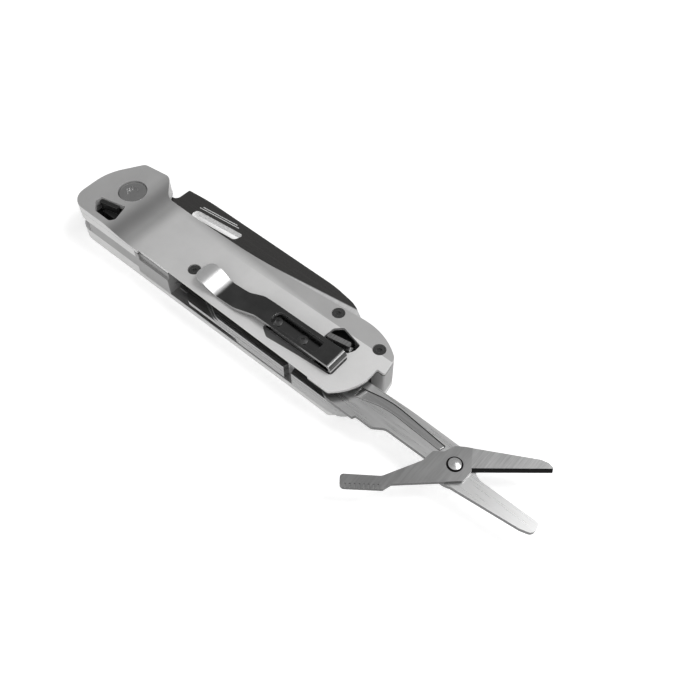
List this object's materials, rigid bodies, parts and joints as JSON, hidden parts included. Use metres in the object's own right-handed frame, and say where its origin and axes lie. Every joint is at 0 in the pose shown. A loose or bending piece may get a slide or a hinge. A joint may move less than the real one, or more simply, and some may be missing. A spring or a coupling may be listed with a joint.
{
  "type": "multi tool",
  "caption": "Pocket multi tool: metal handle with a side-folding knife, pocket clip, lock slides, and folding drivers, openers, awl and sprung scissors.",
  "frame": {"origin": "middle of the closed handle's length, level with the knife pivot, on the resting face of the far scale", "axes": "+X along the handle from the knife pivot end to the tool end, +Y across the handle towards the side the knife opens from, +Z from the resting face up to the clip side"},
  "size_m": [0.17, 0.0493, 0.0159],
  "materials": {
    "scale": "bead blasted, fine speckle, mid grey",
    "liner": "satin",
    "spacer": "satin, tumbled edges",
    "blade": "dark satin flat with a bright ground edge",
    "washer": "phosphor bronze, dull",
    "pivot": "satin, domed",
    "lock": "black, low sheen",
    "spring": "polished",
    "screw": "black, low sheen",
    "tool": "satin",
    "scissors": "satin with fine brush lines",
    "rivet": "polished, domed",
    "clip": "dark chrome"
  },
  "bodies": {
    "handle": {"near_scale": "scale", "far_scale": "scale", "near_liner": "liner", "far_liner": "liner", "near_spacer": "spacer", "far_spacer": "spacer", "near_knife_liner": "liner", "far_knife_liner": "liner", "front_spacer": "spacer", "butt_spacer": "spacer", "pivot_barrel": "pivot", "pivot_screw_near": "pivot", "pivot_screw_far": "pivot", "pivot_washers": "washer", "blade_stop_pin": "pivot", "blade_lock_spring": "spring", "tool_lock_spring": "spring", "scale_screws_near": "screw", "scale_screws_far": "screw", "frame_pins": "pivot", "tool_pivot_pin": "pivot", "tool_springs": "spring", "tool_spring_pin": "pivot", "pocket_clip": "clip", "clip_screws": "screw"},
    "knife": {"knife_blade": "blade"},
    "blade_lock": {"blade_lock": "lock"},
    "tool_lock": {"tool_lock": "lock"},
    "phillips": {"phillips_driver": "tool"},
    "opener": {"bottle_opener": "tool"},
    "package": {"package_opener": "tool"},
    "awl_tool": {"awl": "tool"},
    "scissors": {"scissors_arm": "scissors", "scissors_rivet": "rivet", "scissors_spring": "spring"},
    "scissors_lever": {"scissors_lever": "scissors"}
  },
  "joints": [
    {"name": "knife_fold", "type": "hinge", "parent": "handle", "child": "knife", "pos_m": [-0.0466, 0, 0.0068], "axis": [0, 0, 1], "range_deg": [0, 180]},
    {"name": "phillips_fold", "type": "hinge", "parent": "handle", "child": "phillips", "pos_m": [0.0478, -0.0093, 0.0032], "axis": [0, 0, 1], "range_deg": [0, 180]},
    {"name": "opener_fold", "type": "hinge", "parent": "handle", "child": "opener", "pos_m": [0.0478, -0.0093, 0.00475], "axis": [0, 0, 1], "range_deg": [0, 180]},
    {"name": "package_fold", "type": "hinge", "parent": "handle", "child": "package", "pos_m": [0.0478, -0.0093, 0.0061], "axis": [0, 0, 1], "range_deg": [0, 180]},
    {"name": "awl_fold", "type": "hinge", "parent": "handle", "child": "awl_tool", "pos_m": [0.0478, -0.0093, 0.0073], "axis": [0, 0, 1], "range_deg": [0, 180]},
    {"name": "scissors_fold", "type": "hinge", "parent": "handle", "child": "scissors", "pos_m": [0.0478, -0.0093, 0.00865], "axis": [0, 0, 1], "range_deg": [-180, 0]},
    {"name": "scissors_cut", "type": "hinge", "parent": "scissors", "child": "scissors_lever", "pos_m": [0.0856, -0.0093, 0.01], "axis": [0, 0, 1], "range_deg": [-40, 0], "stiffness_Nm_per_rad": 0.02, "springref_deg": 8.59},
    {"name": "blade_lock_slide", "type": "slide", "parent": "handle", "child": "blade_lock", "axis": [0, -1, 0], "range_m": [0, 0.001], "stiffness_N_per_m": 120, "springref_m": -0.002},
    {"name": "tool_lock_slide", "type": "slide", "parent": "handle", "child": "tool_lock", "axis": [0, 1, 0], "range_m": [0, 0.001], "stiffness_N_per_m": 120, "springref_m": -0.002}
  ]
}
